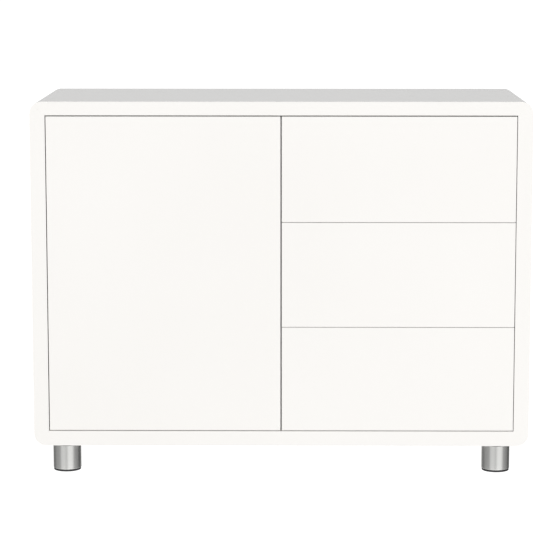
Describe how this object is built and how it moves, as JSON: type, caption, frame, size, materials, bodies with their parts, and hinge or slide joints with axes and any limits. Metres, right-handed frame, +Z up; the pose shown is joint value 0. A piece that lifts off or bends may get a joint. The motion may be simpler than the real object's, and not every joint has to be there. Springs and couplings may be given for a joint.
{
  "type": "sideboard",
  "caption": "Low cabinet on short round steel feet: flush left door over a shelf, stack of flush drawers on the right, push to open, no handles.",
  "frame": {"origin": "on the floor under the middle of the carcass", "axes": "+X to the right seen from the front, +Y to the rear, +Z up"},
  "size_m": [1.05, 0.4, 0.792],
  "materials": {
    "lacquer": "white gloss lacquer on MDF",
    "melamine": "satin white melamine, chipboard core",
    "hardboard": "matte white hardboard",
    "brushed_steel": "brushed round the foot",
    "zinc": "bright zinc plated sheet steel",
    "brass": "turned brass insert",
    "beech": "fluted beech dowel",
    "black_plastic": "matte black plastic",
    "grey_plastic": "light grey moulded plastic"
  },
  "bodies": {
    "carcass": {"top_panel": "lacquer", "bottom_panel": "lacquer", "left_side_panel": "lacquer", "right_side_panel": "lacquer", "centre_divider": "melamine", "back_panel": "hardboard", "mitre_dowels": "beech", "divider_dowels": "beech", "foot_front_left": "brushed_steel", "foot_front_right": "brushed_steel", "foot_rear_left": "brushed_steel", "foot_rear_right": "brushed_steel", "foot_glides": "black_plastic", "foot_bolts": "zinc", "foot_inserts": "brass", "shelf": "melamine", "shelf_pins": "zinc", "hinge_plate_upper": "zinc", "hinge_plate_lower": "zinc", "hinge_arm_upper": "zinc", "hinge_arm_lower": "zinc", "latch_housing": "grey_plastic", "carcass_screws": "zinc", "cabinet_rails_top": "zinc", "cabinet_rails_middle": "zinc", "cabinet_rails_bottom": "zinc"},
    "door": {"door_panel": "lacquer", "hinge_cup_upper": "zinc", "hinge_cup_lower": "zinc", "hinge_pins": "zinc", "door_screws": "zinc", "latch_strike": "zinc"},
    "latch_plunger": {"latch_plunger": "black_plastic"},
    "drawer_bottom": {"drawer_front_bottom": "lacquer", "drawer_left_side_bottom": "melamine", "drawer_right_side_bottom": "melamine", "drawer_back_bottom": "melamine", "drawer_bottom_bottom": "hardboard", "drawer_rails_bottom": "zinc", "drawer_dowels_bottom": "beech", "drawer_screws_bottom": "zinc"},
    "runner_bottom": {"mid_rails_bottom": "zinc"},
    "drawer_middle": {"drawer_front_middle": "lacquer", "drawer_left_side_middle": "melamine", "drawer_right_side_middle": "melamine", "drawer_back_middle": "melamine", "drawer_bottom_middle": "hardboard", "drawer_rails_middle": "zinc", "drawer_dowels_middle": "beech", "drawer_screws_middle": "zinc"},
    "runner_middle": {"mid_rails_middle": "zinc"},
    "drawer_top": {"drawer_front_top": "lacquer", "drawer_left_side_top": "melamine", "drawer_right_side_top": "melamine", "drawer_back_top": "melamine", "drawer_bottom_top": "hardboard", "drawer_rails_top": "zinc", "drawer_dowels_top": "beech", "drawer_screws_top": "zinc"},
    "runner_top": {"mid_rails_top": "zinc"}
  },
  "joints": [
    {"name": "door_swing", "type": "hinge", "parent": "carcass", "child": "door", "pos_m": [-0.4688, -0.1912, 0.427], "axis": [0, 0, -1], "range_deg": [0, 95]},
    {"name": "latch_slide", "type": "slide", "parent": "carcass", "child": "latch_plunger", "axis": [0, -1, 0], "range_m": [0, 0.01]},
    {"name": "drawer_bottom_slide", "type": "slide", "parent": "carcass", "child": "drawer_bottom", "axis": [0, -1, 0], "range_m": [-0.003, 0.33]},
    {"name": "runner_bottom_slide", "type": "slide", "parent": "carcass", "child": "runner_bottom", "axis": [0, -1, 0], "range_m": [-0.0015, 0.165]},
    {"name": "drawer_middle_slide", "type": "slide", "parent": "carcass", "child": "drawer_middle", "axis": [0, -1, 0], "range_m": [-0.003, 0.33]},
    {"name": "runner_middle_slide", "type": "slide", "parent": "carcass", "child": "runner_middle", "axis": [0, -1, 0], "range_m": [-0.0015, 0.165]},
    {"name": "drawer_top_slide", "type": "slide", "parent": "carcass", "child": "drawer_top", "axis": [0, -1, 0], "range_m": [-0.003, 0.33]},
    {"name": "runner_top_slide", "type": "slide", "parent": "carcass", "child": "runner_top", "axis": [0, -1, 0], "range_m": [-0.0015, 0.165]}
  ],
  "couplings": [
    {"joint": "latch_slide", "follows": "door_swing", "m_per_rad": 0.006},
    {"joint": "runner_bottom_slide", "follows": "drawer_bottom_slide", "ratio": 0.5},
    {"joint": "runner_middle_slide", "follows": "drawer_middle_slide", "ratio": 0.5},
    {"joint": "runner_top_slide", "follows": "drawer_top_slide", "ratio": 0.5}
  ]
}
